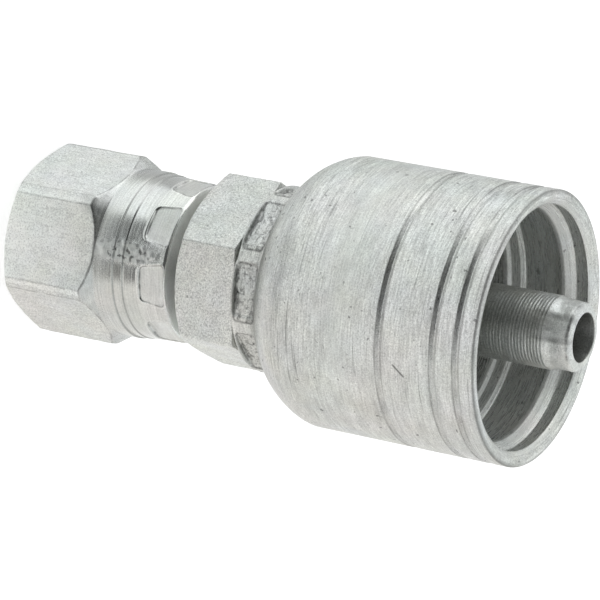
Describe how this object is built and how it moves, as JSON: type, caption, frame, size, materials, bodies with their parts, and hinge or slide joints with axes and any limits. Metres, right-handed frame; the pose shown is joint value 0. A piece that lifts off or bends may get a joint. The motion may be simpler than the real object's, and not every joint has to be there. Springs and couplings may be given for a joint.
{
  "type": "hydraulic hose end with swivel nut",
  "caption": "Crimp hose end for a small hydraulic hose, with a free-turning female nut, a wrench hexagon and an open ferrule round a ringed tail.",
  "frame": {"origin": "centre of the nut's front face, on which the fitting stands", "axes": "+Z along the fitting's axis, from the nut towards the hose"},
  "size_m": [0.0226, 0.0224, 0.0506],
  "materials": {
    "nut_plating": "zinc plated steel, satin, turned collar and matt flats",
    "stem_plating": "zinc plated steel, matt, with fine turned rings on the tail",
    "shell_plating": "zinc plated steel, satin, with fine turning lines"
  },
  "bodies": {
    "root": {"stem": "stem_plating", "shell": "shell_plating"},
    "nut": {"swivel_nut": "nut_plating"}
  },
  "joints": [
    {"name": "nut_swivel", "type": "hinge", "parent": "root", "child": "nut", "pos_m": [0, 0, 0.012], "axis": [0, 0, 1], "continuous": true}
  ]
}
